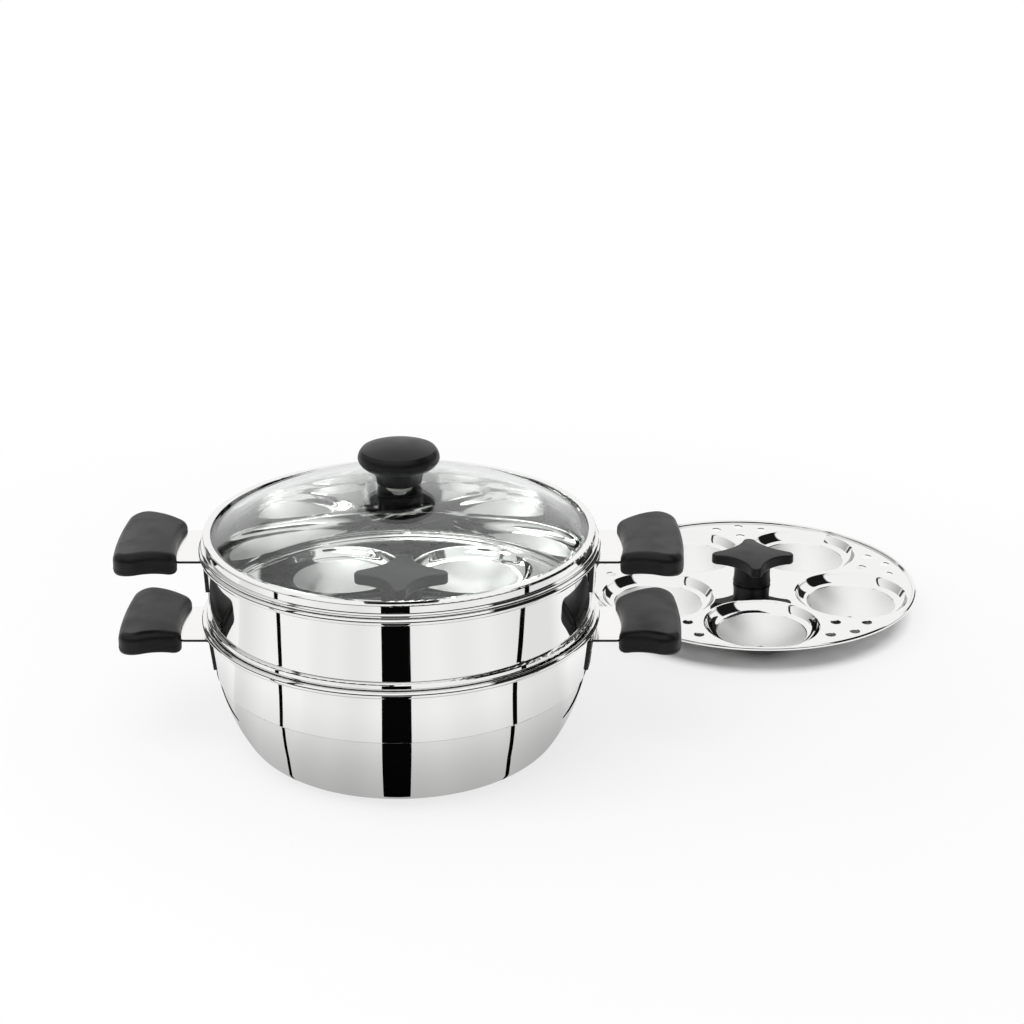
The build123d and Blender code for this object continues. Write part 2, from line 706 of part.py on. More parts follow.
def moved(place, shape):
    """A shape, or each shape of a list, put in its place."""
    if isinstance(shape, list):
        return [place * item for item in shape]
    return place * shape


def handle_set(prefix, foot, rim_height, drop):
    """The two handles of a pan: brackets, grips and their screws."""
    level = Pos(0, 0, tongue_level(rim_height, drop))
    right = {"bracket": bracket(foot, rim_height, drop), "grip": grip()}
    pieces = {}
    for side, turn in (("left", 180), ("right", 0)):
        for name, shape in right.items():
            pieces[f"{prefix}_{name}_{side}"] = level * Rot(0, 0, turn) * shape
    pieces[f"{prefix}_grip_screws"] = [level * Rot(0, 0, turn) * grip_screw() for turn in (0, 180)]
    return pieces


def all_pieces():
    """Every piece by name, in its place at rest."""
    pieces = {"pot_body": pot_shell(), "steamer_body": steamer_pan()}
    pieces |= handle_set("pot", pot_wall_foot(), pot_height, pot_tongue_drop)
    pieces |= handle_set("steamer", pan_wall_foot(), pan_rim_height, pan_tongue_drop)
    plates = {"top": Pos(0, 0, plate_height), "spare": Pos(spare_side, spare_back, spare_height)}
    for prefix, place in plates.items():
        pieces |= {name: place * shape for name, shape in plate_set(prefix).items()}
    pieces |= {name: moved(Pos(0, 0, lid_height), shape) for name, shape in lid_set().items()}
    return pieces


os.makedirs("parts", exist_ok=True)
for piece_name, piece in all_pieces().items():
    solids = [solid for item in (piece if isinstance(piece, list) else [piece]) for solid in item.solids()]
    export_step(Compound(children=solids) if len(solids) > 1 else solids[0], f"parts/{piece_name}.step")
    volume = sum(solid.volume for solid in solids)
    print(piece_name, len(solids), round(volume, 1))
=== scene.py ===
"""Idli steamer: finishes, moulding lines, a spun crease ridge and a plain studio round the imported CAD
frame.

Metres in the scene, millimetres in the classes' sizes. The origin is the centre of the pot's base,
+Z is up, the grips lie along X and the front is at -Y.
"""

import json
import logging
import math
from dataclasses import dataclass
from enum import Enum
from typing import Any, Sequence

import bmesh
import bpy
from mathutils import Matrix, Vector


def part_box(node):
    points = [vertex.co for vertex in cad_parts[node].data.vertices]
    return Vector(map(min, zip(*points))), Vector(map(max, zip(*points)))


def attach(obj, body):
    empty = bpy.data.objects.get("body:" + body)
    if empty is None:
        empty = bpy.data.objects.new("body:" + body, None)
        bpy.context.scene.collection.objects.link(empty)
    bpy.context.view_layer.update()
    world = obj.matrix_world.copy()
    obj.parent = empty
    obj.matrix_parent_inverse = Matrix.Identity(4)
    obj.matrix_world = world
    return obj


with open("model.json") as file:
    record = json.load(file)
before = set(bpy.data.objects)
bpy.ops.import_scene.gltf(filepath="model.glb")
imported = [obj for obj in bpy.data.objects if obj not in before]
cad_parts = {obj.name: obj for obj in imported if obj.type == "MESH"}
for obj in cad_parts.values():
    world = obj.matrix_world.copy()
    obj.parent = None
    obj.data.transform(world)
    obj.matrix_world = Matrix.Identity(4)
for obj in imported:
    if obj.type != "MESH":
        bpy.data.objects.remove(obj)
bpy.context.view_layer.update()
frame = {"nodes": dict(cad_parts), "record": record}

LOG = logging.getLogger("idli_steamer")
MM = 0.001
POT_CREASE = (112.4, 50.4)
BEAD_SIDES = 10
BEAD_STEPS = 240
WELD = 0.002


class Ray(Enum):
    """The Light Path outputs that the studio tells apart."""

    CAMERA = "Is Camera Ray"
    GLOSSY = "Is Glossy Ray"
    TRANSMISSION = "Is Transmission Ray"
    SHADOW = "Is Shadow Ray"


class Slot(Enum):
    """The record's material slots."""

    MIRROR_STEEL = "mirror_steel"
    BRACKET_STEEL = "bracket_steel"
    FASTENER_STEEL = "fastener_steel"
    BAKELITE = "bakelite"
    BRASS = "brass"
    GLASS = "glass"
    SILICONE = "silicone"


def linear(hex_colour: str) -> tuple[float, float, float, float]:
    """Turns an sRGB hex colour into linear light.

    Args:
        hex_colour: Six hex digits, with or without a leading hash.

    Returns:
        Red, green, blue and an alpha of 1.
    """
    digits = hex_colour.lstrip("#")
    shares = [int(digits[i:i + 2], 16) / 255 for i in (0, 2, 4)]
    light = [s / 12.92 if s <= 0.04045 else ((s + 0.055) / 1.055) ** 2.4 for s in shares]
    return (light[0], light[1], light[2], 1.0)


def add_node(
        tree: bpy.types.NodeTree, kind: str, links: dict[Any, Any] | None = None, **settings: Any) -> Any:
    """Adds one shader node.

    Args:
        tree: The node tree that gets it.
        kind: The node's type without its Shader prefix.
        links: Input name or index to an output socket that feeds it, or to a plain value.
        **settings: Properties of the node itself.

    Returns:
        The new node.
    """
    node = tree.nodes.new("ShaderNode" + kind)
    for name, value in settings.items():
        setattr(node, name, value)
    for key, value in (links or {}).items():
        if isinstance(value, bpy.types.NodeSocket):
            tree.links.new(value, node.inputs[key])
        else:
            node.inputs[key].default_value = value
    return node


@dataclass(frozen=True)
class Finish:
    """What every finish has: the real material's name and the slot of the record it stands for."""

    name: str
    slot: Slot

    def material(self) -> bpy.types.Material:
        """Makes the material and draws its shader."""
        made = bpy.data.materials.new(self.name)
        made.use_nodes = True
        made.node_tree.nodes.clear()
        shader = self.shader(made.node_tree)
        add_node(made.node_tree, "OutputMaterial", {"Surface": shader})
        return made

    def shader(self, tree: bpy.types.NodeTree) -> bpy.types.NodeSocket:
        """Draws the finish's nodes and returns the socket of its shader."""
        raise NotImplementedError


@dataclass(frozen=True)
class PolishedSteel(Finish):
    """Stainless steel sheet, spun and mirror buffed: near-black and white reflections with crisp edges, faint
    rings left by the buffing wheel and a little haze where hands have been. Below one level, in the dishes of
    the cups, the wheel doesn't reach and the sheet stays satin; there its colour is also painted lighter,
    which is a painted highlight.
    """

    centre: tuple[float, float] = (0.0, 0.0)
    satin_and_painted_light_below: float = -100.0
    satin_and_painted_light_fade: float = 0.8
    satin: float = 0.5
    # Painted highlight: the lighter colour that the satin dishes take.
    painted_light_dish_colour: str = "#FDFDFC"
    colour: str = "#F1F1F0"
    roughness: float = 0.02
    haze: float = 0.03
    ring_pitch: float = 0.55
    ring_depth: float = 0.0004
    sheet_wave: float = 38.0
    sheet_wave_depth: float = 0.012

    def shader(self, tree: bpy.types.NodeTree) -> bpy.types.NodeSocket:
        """Draws the finish's nodes.

        Args:
            tree: The material's node tree.

        Returns:
            The shader's socket.
        """
        place = add_node(tree, "TexCoord").outputs["Object"]
        centred = add_node(tree, "Mapping", {
            "Vector": place, "Location": (-self.centre[0] * MM, -self.centre[1] * MM, 0)})
        parts = add_node(tree, "SeparateXYZ", {0: centred.outputs[0]})
        flat = add_node(tree, "CombineXYZ", {0: parts.outputs[0], 1: parts.outputs[1]})
        radius = add_node(tree, "VectorMath", {0: flat.outputs[0]}, operation="LENGTH")
        ring_place = add_node(tree, "CombineXYZ", {0: radius.outputs["Value"], 2: parts.outputs[2]})
        rings = add_node(tree, "TexNoise", {
            "Vector": ring_place.outputs[0], "Scale": 1 / (self.ring_pitch * MM), "Detail": 3.0})
        clouds = add_node(tree, "TexNoise", {
            "Vector": place, "Scale": 1 / (self.sheet_wave * MM), "Detail": 2.0})
        smears = add_node(tree, "MapRange", {
            "Value": clouds.outputs[0], "From Min": 0.45, "From Max": 0.75,
            "To Min": self.roughness, "To Max": self.roughness + self.haze})
        wave = add_node(tree, "Bump", {"Height": clouds.outputs[0], "Strength": 1.0,
                                       "Distance": self.sheet_wave_depth * MM})
        buffed = add_node(tree, "Bump", {"Height": rings.outputs[0], "Strength": 1.0,
                                         "Distance": self.ring_depth * MM, "Normal": wave.outputs[0]})
        # Below the level the sheet turns satin (rougher) and its colour is painted lighter: painted
        # highlight.
        buffing = add_node(tree, "MapRange", {
            "Value": parts.outputs[2], "From Min": self.satin_and_painted_light_below * MM,
            "From Max": (self.satin_and_painted_light_below + self.satin_and_painted_light_fade) * MM})
        rough = add_node(tree, "Mix", {0: buffing.outputs[0], 2: self.satin, 3: smears.outputs[0]})
        # Painted highlight: the dishes take the lighter colour.
        colour = add_node(tree, "Mix", {
            0: buffing.outputs[0], 6: linear(self.painted_light_dish_colour), 7: linear(self.colour)}, data_type="RGBA")
        steel = add_node(tree, "BsdfPrincipled", {
            "Base Color": colour.outputs[2], "Metallic": 1.0,
            "Roughness": rough.outputs[0], "Normal": buffed.outputs[0]})
        return steel.outputs[0]


@dataclass(frozen=True)
class SatinSteel(Finish):
    """Pressed steel strip with a brushed satin face, soft streaks along the strip, and dull edges where the
    strip was shear-cut. Every face turned towards ±Y, which on the strip are those edges, is painted dark:
    painted shade.
    """

    colour: str = "#F6F5F3"
    # Painted shade: the colour, and the range of facing towards ±Y that takes it.
    painted_shade_colour: str = "#2C2C2D"
    painted_shade_facing: tuple[float, float] = (0.75, 0.9)
    roughness: float = 0.14
    grain_width: float = 0.22
    grain_length: float = 12.0
    grain_depth: float = 0.0015

    def shader(self, tree: bpy.types.NodeTree) -> bpy.types.NodeSocket:
        """Draws the finish's nodes.

        Args:
            tree: The material's node tree.

        Returns:
            The shader's socket.
        """
        place = add_node(tree, "TexCoord").outputs["Object"]
        fine = 1 / (self.grain_width * MM)
        drawn = add_node(tree, "Mapping", {
            "Vector": place, "Scale": (1 / (self.grain_length * MM), fine, fine)})
        grain = add_node(tree, "TexNoise", {"Vector": drawn.outputs[0], "Scale": 1.0, "Detail": 3.0})
        rough = add_node(tree, "MapRange", {
            "Value": grain.outputs[0], "From Min": 0.3, "From Max": 0.7,
            "To Min": self.roughness * 0.75, "To Max": self.roughness * 1.3})
        bump = add_node(tree, "Bump", {"Height": grain.outputs[0], "Strength": 1.0,
                                       "Distance": self.grain_depth * MM})
        # Painted shade: faces turned towards ±Y take the dark colour, whatever light reaches them.
        facing = add_node(tree, "SeparateXYZ", {0: add_node(tree, "NewGeometry").outputs["True Normal"]})
        sideways = add_node(tree, "Math", {0: facing.outputs[1]}, operation="ABSOLUTE")
        painted_shade_sides = add_node(tree, "MapRange", {
            "Value": sideways.outputs[0], "From Min": self.painted_shade_facing[0], "From Max": self.painted_shade_facing[1]})
        colour = add_node(tree, "Mix", {
            0: painted_shade_sides.outputs[0], 6: linear(self.colour), 7: linear(self.painted_shade_colour)}, data_type="RGBA")
        steel = add_node(tree, "BsdfPrincipled", {
            "Base Color": colour.outputs[2], "Metallic": 1.0,
            "Roughness": rough.outputs[0], "Normal": bump.outputs[0]})
        return steel.outputs[0]


@dataclass(frozen=True)
class PlatedMetal(Finish):
    """A small turned or headed metal part, bright from plating with fine tool marks."""

    colour: str = "#B9BBBD"
    roughness: float = 0.28
    mark_width: float = 0.25
    mark_depth: float = 0.004

    def shader(self, tree: bpy.types.NodeTree) -> bpy.types.NodeSocket:
        """Draws the finish's nodes.

        Args:
            tree: The material's node tree.

        Returns:
            The shader's socket.
        """
        place = add_node(tree, "TexCoord").outputs["Object"]
        marks = add_node(tree, "TexNoise", {
            "Vector": place, "Scale": 1 / (self.mark_width * MM), "Detail": 2.0})
        rough = add_node(tree, "MapRange", {
            "Value": marks.outputs[0], "From Min": 0.3, "From Max": 0.7,
            "To Min": self.roughness * 0.8, "To Max": self.roughness * 1.25})
        bump = add_node(tree, "Bump", {"Height": marks.outputs[0], "Strength": 1.0,
                                       "Distance": self.mark_depth * MM})
        metal = add_node(tree, "BsdfPrincipled", {
            "Base Color": linear(self.colour), "Metallic": 1.0,
            "Roughness": rough.outputs[0], "Normal": bump.outputs[0]})
        return metal.outputs[0]


@dataclass(frozen=True)
class MouldedPhenolic(Finish):
    """Black phenolic (Bakelite), compression moulded: deep black with a soft satin sheen, a fine
    orange-peel skin from the mould and slightly duller patches where it is handled.
    """

    colour: str = "#0E0E0F"
    worn_colour: str = "#151516"
    roughness: float = 0.34
    wear: float = 0.12
    peel_width: float = 1.1
    peel_depth: float = 0.008
    patch_width: float = 17.0
    specular: float = 0.2

    def shader(self, tree: bpy.types.NodeTree) -> bpy.types.NodeSocket:
        """Draws the finish's nodes.

        Args:
            tree: The material's node tree.

        Returns:
            The shader's socket.
        """
        place = add_node(tree, "TexCoord").outputs["Object"]
        peel = add_node(tree, "TexNoise", {
            "Vector": place, "Scale": 1 / (self.peel_width * MM), "Detail": 2.0})
        patches = add_node(tree, "TexNoise", {
            "Vector": place, "Scale": 1 / (self.patch_width * MM), "Detail": 3.0})
        wear = add_node(tree, "MapRange", {"Value": patches.outputs[0], "From Min": 0.4, "From Max": 0.7})
        colour = add_node(tree, "Mix", {
            0: wear.outputs[0], 6: linear(self.colour), 7: linear(self.worn_colour)}, data_type="RGBA")
        rough = add_node(tree, "MapRange", {
            "Value": wear.outputs[0], "To Min": self.roughness, "To Max": self.roughness + self.wear})
        bump = add_node(tree, "Bump", {"Height": peel.outputs[0], "Strength": 1.0,
                                       "Distance": self.peel_depth * MM})
        resin = add_node(tree, "BsdfPrincipled", {
            "Base Color": colour.outputs[2], "Roughness": rough.outputs[0], "IOR": 1.58,
            "Specular IOR Level": self.specular, "Normal": bump.outputs[0]})
        return resin.outputs[0]


@dataclass(frozen=True)
class TemperedGlass(Finish):
    """Clear toughened soda-lime glass, sagged over a mould: almost colourless with a thin bright
    rim, and the faintest ripple from the bending. Rays from lamps pass straight through, as real
    thin glass lets nearly all light by.
    """

    colour: str = "#FCFEFD"
    ripple_width: float = 60.0
    ripple_depth: float = 0.01
    specular: float = 0.05

    def shader(self, tree: bpy.types.NodeTree) -> bpy.types.NodeSocket:
        """Draws the finish's nodes.

        Args:
            tree: The material's node tree.

        Returns:
            The shader's socket.
        """
        place = add_node(tree, "TexCoord").outputs["Object"]
        ripple = add_node(tree, "TexNoise", {"Vector": place, "Scale": 1 / (self.ripple_width * MM)})
        smears = add_node(tree, "MapRange", {
            "Value": ripple.outputs[0], "From Min": 0.4, "From Max": 0.8, "To Min": 0.0, "To Max": 0.015})
        bump = add_node(tree, "Bump", {"Height": ripple.outputs[0], "Strength": 1.0,
                                       "Distance": self.ripple_depth * MM})
        glass = add_node(tree, "BsdfPrincipled", {
            "Base Color": linear(self.colour), "Transmission Weight": 1.0, "IOR": 1.5,
            "Specular IOR Level": self.specular, "Roughness": smears.outputs[0], "Normal": bump.outputs[0]})
        clear = add_node(tree, "BsdfTransparent", {"Color": linear(self.colour)})
        rays = add_node(tree, "LightPath")
        lit = add_node(tree, "MixShader", {
            0: rays.outputs[Ray.SHADOW.value], 1: glass.outputs[0], 2: clear.outputs[0]})
        return lit.outputs[0]


@dataclass(frozen=True)
class SiliconePad(Finish):
    """Milky moulded silicone rubber: soft, cloudy and slightly see-through."""

    colour: str = "#DDDCD6"
    grain_width: float = 0.8

    def shader(self, tree: bpy.types.NodeTree) -> bpy.types.NodeSocket:
        """Draws the finish's nodes.

        Args:
            tree: The material's node tree.

        Returns:
            The shader's socket.
        """
        place = add_node(tree, "TexCoord").outputs["Object"]
        cloud = add_node(tree, "TexNoise", {"Vector": place, "Scale": 1 / (self.grain_width * MM)})
        rough = add_node(tree, "MapRange", {"Value": cloud.outputs[0], "To Min": 0.4, "To Max": 0.6})
        bump = add_node(tree, "Bump", {"Height": cloud.outputs[0], "Strength": 1.0, "Distance": 0.01 * MM})
        rubber = add_node(tree, "BsdfPrincipled", {
            "Base Color": linear(self.colour), "Roughness": rough.outputs[0], "IOR": 1.41,
            "Subsurface Weight": 0.4, "Subsurface Scale": 1.5 * MM, "Normal": bump.outputs[0]})
        return rubber.outputs[0]


def finished(name: str, shape: bmesh.types.BMesh) -> bpy.types.Object:
    """Turns a bmesh into an object at the origin.

    Args:
        name: The object's name.
        shape: The mesh, which is freed.

    Returns:
        The linked object.
    """
    mesh = bpy.data.meshes.new(name)
    shape.to_mesh(mesh)
    shape.free()
    made = bpy.data.objects.new(name, mesh)
    bpy.context.scene.collection.objects.link(made)
    return made


def outline(shape: bmesh.types.BMesh) -> list[bmesh.types.BMVert]:
    """Finds the widest closed line of a cut mesh, which is the outline of the piece.

    Args:
        shape: A mesh that has only edges left, in separate lines.

    Returns:
        The corners of that line.
    """
    left = set(shape.verts)
    widest: list[bmesh.types.BMVert] = []
    reach = 0.0
    while left:
        line = [left.pop()]
        for vert in line:
            found = [edge.other_vert(vert) for edge in vert.link_edges if edge.other_vert(vert) in left]
            line.extend(found)
            left.difference_update(found)
        span = max(vert.co.y for vert in line) - min(vert.co.y for vert in line)
        if span > reach:
            widest, reach = line, span
    return widest


def moulding_flash(node_name: str, level_share: float, width: float, stand: float) -> bpy.types.Object:
    """Makes the thin raised line that a two-part mould leaves round a moulded piece.

    Args:
        node_name: The CAD node that carries it.
        level_share: Its height as a share of the node's height.
        width: The line's width in millimetres.
        stand: How far it stands out, in millimetres.

    Returns:
        The line as a thin closed band.
    """
    low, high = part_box(node_name)
    centre = Matrix.Translation(-(low + high) / 2)
    level = low.z + (high.z - low.z) * level_share
    shape = bmesh.new()
    shape.from_mesh(frame["nodes"][node_name].data)
    bmesh.ops.remove_doubles(shape, verts=shape.verts, dist=WELD * MM)
    bmesh.ops.bisect_plane(
        shape, geom=shape.verts[:] + shape.edges[:] + shape.faces[:], plane_co=(0, 0, level),
        plane_no=(0, 0, 1), clear_inner=True, clear_outer=True)
    kept = set(outline(shape))
    bmesh.ops.delete(shape, geom=[vert for vert in shape.verts if vert not in kept], context="VERTS")
    wider = [1 + 2 * stand * MM / side for side in (high - low)[:2]]
    bmesh.ops.scale(shape, verts=shape.verts, vec=(wider[0], wider[1], 1), space=centre)
    raised = bmesh.ops.extrude_edge_only(shape, edges=shape.edges[:])
    top = [item for item in raised["geom"] if isinstance(item, bmesh.types.BMVert)]
    bmesh.ops.translate(shape, verts=top, vec=(0, 0, width * MM))
    sunk = bmesh.ops.extrude_face_region(shape, geom=shape.faces[:], use_keep_orig=True)
    inner = [item for item in sunk["geom"] if isinstance(item, bmesh.types.BMVert)]
    bmesh.ops.scale(shape, verts=inner, vec=(1 / wider[0] ** 3, 1 / wider[1] ** 3, 1), space=centre)
    bmesh.ops.recalc_face_normals(shape, faces=shape.faces)
    return finished(node_name + "_flash", shape)


def spun_bead(name: str, radius: float, height: float, thickness: float) -> bpy.types.Object:
    """Makes the fine ridge that a spinning roller leaves where it changes direction.

    Args:
        name: The object's name.
        radius: The wall's outer radius there, in millimetres.
        height: Its height over the base, in millimetres.
        thickness: The ridge's width, in millimetres.

    Returns:
        The ridge as a closed ring, half sunk into the wall.
    """
    shape = bmesh.new()
    place = Matrix.Translation(Vector((radius, 0, height)) * MM) @ Matrix.Rotation(math.radians(90), 4, "X")
    bmesh.ops.create_circle(shape, segments=BEAD_SIDES, radius=thickness / 2 * MM, matrix=place)
    bmesh.ops.spin(
        shape, geom=shape.verts[:] + shape.edges[:], cent=(0, 0, 0), axis=(0, 0, 1),
        angle=math.radians(360), steps=BEAD_STEPS, use_merge=True)
    bmesh.ops.recalc_face_normals(shape, faces=shape.faces)
    for face in shape.faces:
        face.smooth = True
    return finished(name, shape)


@dataclass
class SubAssembly:
    """Pieces of the real object that move together as one body."""

    body: str
    finishes: dict[Slot, Finish]

    def build(self) -> list[tuple[bpy.types.Object, Slot]]:
        """Makes the sub-assembly's own fine pieces, each with its slot."""
        return []

    def dress(self, piece: bpy.types.Object, slot: Slot) -> None:
        """Gives a piece its finish.

        Args:
            piece: A CAD node's object or a new piece.
            slot: The record's slot that it belongs to.
        """
        finish = self.finishes[slot]
        made = bpy.data.materials.get(finish.name) or finish.material()
        piece.data.materials.clear()
        piece.data.materials.append(made)
        LOG.info("%s, %s: %s", self.body, piece.name, finish.name)

    def run(self) -> None:
        """Builds and dresses the whole sub-assembly."""
        slots = {row["node"]: Slot(row["material_slot"]) for row in frame["record"]["subparts"]}
        for node_name in frame["record"]["behaviour"]["bodies"][self.body]:
            self.dress(frame["nodes"][node_name], slots[node_name])
        for piece, slot in self.build():
            self.dress(piece, slot)
            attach(piece, self.body)


@dataclass
class Vessel(SubAssembly):
    """The pot or the steamer pan: a spun bowl with two brackets and two moulded grips."""

    flash_share: float = 0.3
    flash_width: float = 0.5
    flash_stand: float = 0.15
    creases: tuple[tuple[float, float], ...] = ()
    crease_width: float = 0.8

    def build(self) -> list[tuple[bpy.types.Object, Slot]]:
        """Makes the mould lines of the two grips and the ridges of the wall's creases.

        Returns:
            The lines and ridges with their slots.
        """
        made = [
            (moulding_flash(f"{self.body}_grip_{side}", self.flash_share, self.flash_width, self.flash_stand),
             Slot.BAKELITE)
            for side in ("left", "right")
        ]
        for radius, height in self.creases:
            ridge = spun_bead(f"{self.body}_crease", radius, height, self.crease_width)
            made.append((ridge, Slot.MIRROR_STEEL))
        return made


@dataclass
class IdliPlate(SubAssembly):
    """A plate of five cups with its star knob, buffed in rings round its own middle."""

    dish_height: float = 11.4

    def __post_init__(self) -> None:
        """Turns the buffing rings round this plate's middle, leaves its dishes satin and paints them lighter,
        which is a painted highlight.
        """
        low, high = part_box(self.body.replace("_plate", "_idli_plate"))
        middle = (low + high) / 2 / MM
        name = f"stainless steel, mirror buffed, {self.body.replace('_', ' ')}"
        steel = PolishedSteel(
            name, Slot.MIRROR_STEEL, (middle.x, middle.y), low.z / MM + self.dish_height)
        self.finishes = {**self.finishes, Slot.MIRROR_STEEL: steel}


@dataclass
class Lid(SubAssembly):
    """The glass dome in its steel ring, with the two-part moulded knob."""


@dataclass(frozen=True)
class Flag:
    """A black card on the floor that only the polished steel sees."""

    start: tuple[float, float]
    heading: float
    half_width: float
    spread: float
    length: float = 800.0
    lift: float = 0.2

    def mesh(self) -> bmesh.types.BMesh:
        """Makes the card, which widens away from its start.

        Returns:
            The card's mesh.
        """
        shape = bmesh.new()
        bmesh.ops.create_grid(shape, x_segments=1, y_segments=1, size=1.0)
        for vert in shape.verts:
            reach = 0.0 if vert.co.x < 0 else self.length
            width = self.half_width + reach * math.tan(math.radians(self.spread))
            vert.co = Vector((reach, math.copysign(width, vert.co.y), self.lift)) * MM
        bmesh.ops.rotate(shape, verts=shape.verts, cent=(0, 0, 0),
                         matrix=Matrix.Rotation(math.radians(self.heading), 3, "Z"))
        bmesh.ops.translate(shape, verts=shape.verts, vec=(self.start[0] * MM, self.start[1] * MM, 0))
        return shape


@dataclass(frozen=True)
class Patch:
    """A patch of the room's walls, told by the mirror that shows it to someone in front of the
    object: the side of a bowl where that mirror lies, from its right (0) past its back (90), and
    how far it leans, in degrees. The light level grades from the first side to the last.
    """

    sides: tuple[float, float]
    leans: tuple[float, float]
    levels: tuple[float, float]
    softness: float = 1.0


@dataclass
class Studio:
    """White sweep, soft lamps, dark flags that edge the mirror steel, and the camera."""

    floor_side: float = 14.0
    floor_colour: str = "#F2F2F2"
    floor_drop: float = 0.3
    near_share: float = 0.72
    runs_out: tuple[float, float] = (0.3, 0.62)
    # Painted shadow: where the floor's glow for mirrors greys beside the pot, and how grey.
    painted_pot_shadow_ramp: tuple[float, float, float] = (0.09, 0.2, 0.5)
    # Painted shade in columns round the pot, seen only by mirrors.
    column_pitch: float = 1.4
    column_noise: tuple[float, float] = (0.35, 0.6)
    column_level: float = 0.84
    spare_edge: float = 12.0
    spare_middle: tuple[float, float] = (0.0, 0.0)
    spare_radius: float = 112.0
    card_colour: str = "#060606"
    room_level: float = 0.75
    lamps: tuple[tuple[str, tuple[float, float, float], tuple[float, float], float], ...] = (
        ("softbox_over", (-0.35, -0.55, 1.35), (1.1, 0.7), 7.0),
        ("softbox_side", (-1.3, -0.3, 0.75), (0.5, 0.9), 4.0),
    )
    focal_length: float = 78.4
    sensor_width: float = 36.0
    camera_place: tuple[float, float, float] = (0.0668, -1.2354, 0.6330)
    camera_tilt: float = 68.5
    flags: tuple[Flag, ...] = (
        Flag((0.0, -92.0), -90.0, 8.0, 7.6),
        Flag((-60.0, -62.5), 212.5, 1.2, 0.9, 25.0),
        Flag((-81.0, -76.0), 206.6, 1.5, 1.1, 36.0),
        Flag((-113.0, -92.0), 202.7, 2.1, 1.5, 73.0),
        Flag((-180.0, -120.0), 199.5, 4.0, 1.5),
        Flag((60.0, -62.5), -32.5, 1.5, 1.1, 25.0),
        Flag((81.0, -76.0), -26.6, 1.9, 1.3, 36.0),
        Flag((113.0, -92.0), -22.7, 2.7, 1.8, 73.0),
        Flag((180.0, -120.0), -6.0, 5.0, 1.7),
        Flag((-120.0, -8.0), 99.0, 1.0, 7.0),
        Flag((120.0, -8.0), 81.0, 1.0, 7.0),
    )
    patches: tuple[Patch, ...] = (
        Patch((8.0, 172.0), (62.0, 91.0), (0.03, 0.03), 3.0),
        Patch((22.0, 58.0), (27.0, 64.0), (0.42, 0.97)),
        Patch((57.5, 60.0), (27.0, 64.0), (0.02, 0.02), 0.5),
        Patch((14.0, 20.0), (27.0, 80.0), (0.08, 0.08)),
        Patch((117.0, 141.0), (27.0, 64.0), (0.01, 0.01)),
        Patch((156.0, 171.0), (27.0, 80.0), (0.02, 0.02)),
    )
    viewed_along: tuple[float, float, float] = (0.0, 0.93, -0.366)

    def build(self) -> None:
        """Makes the floor, the flags, the world, the lamps and the camera."""
        self.lay_floor()
        self.lay_flags()
        self.paint_room()
        self.hang_lamps()
        self.place_camera()

    def ramp(self, tree: bpy.types.NodeTree, value: bpy.types.NodeSocket, start: float, end: float,
             low: float = 0.0, high: float = 1.0) -> bpy.types.NodeSocket:
        """Grades one value into another.

        Args:
            tree: The node tree.
            value: What is graded.
            start: The value at which the result is low.
            end: The value at which the result is high.
            low: The result at the start.
            high: The result at the end.

        Returns:
            The graded value's socket.
        """
        node = add_node(tree, "MapRange", {
            "Value": value, "From Min": start, "From Max": end, "To Min": low, "To Max": high})
        return node.outputs[0]

    def join(self, tree: bpy.types.NodeTree, operation: str, first: Any,
             second: Any) -> bpy.types.NodeSocket:
        """Joins two values by an arithmetic operation.

        Args:
            tree: The node tree.
            operation: The Math node's operation.
            first: A socket or a plain value.
            second: A socket or a plain value.

        Returns:
            The result's socket.
        """
        return add_node(tree, "Math", {0: first, 1: second}, operation=operation).outputs[0]

    def distance(self, tree: bpy.types.NodeTree, place: bpy.types.NodeSocket,
                 middle: Sequence[float]) -> bpy.types.NodeSocket:
        """Measures how far a place lies from a middle.

        Args:
            tree: The node tree.
            place: The place's socket.
            middle: The middle's coordinates in the place's unit.

        Returns:
            The distance's socket.
        """
        node = add_node(tree, "VectorMath", {0: place, 1: tuple(middle)}, operation="DISTANCE")
        return node.outputs["Value"]

    def within(self, tree: bpy.types.NodeTree, angle: bpy.types.NodeSocket, limits: tuple[float, float],
               softness: float) -> bpy.types.NodeSocket:
        """Marks the angles between two limits.

        Args:
            tree: The node tree.
            angle: The angle's socket, in radians.
            limits: The limits in degrees.
            softness: Half the width of each soft edge, in degrees.

        Returns:
            The mark's socket, 1 inside and 0 outside.
        """
        low, high = limits
        rise = self.ramp(tree, angle, math.radians(low - softness), math.radians(low + softness))
        fall = self.ramp(tree, angle, math.radians(high + softness), math.radians(high - softness))
        return self.join(tree, "MULTIPLY", rise, fall)

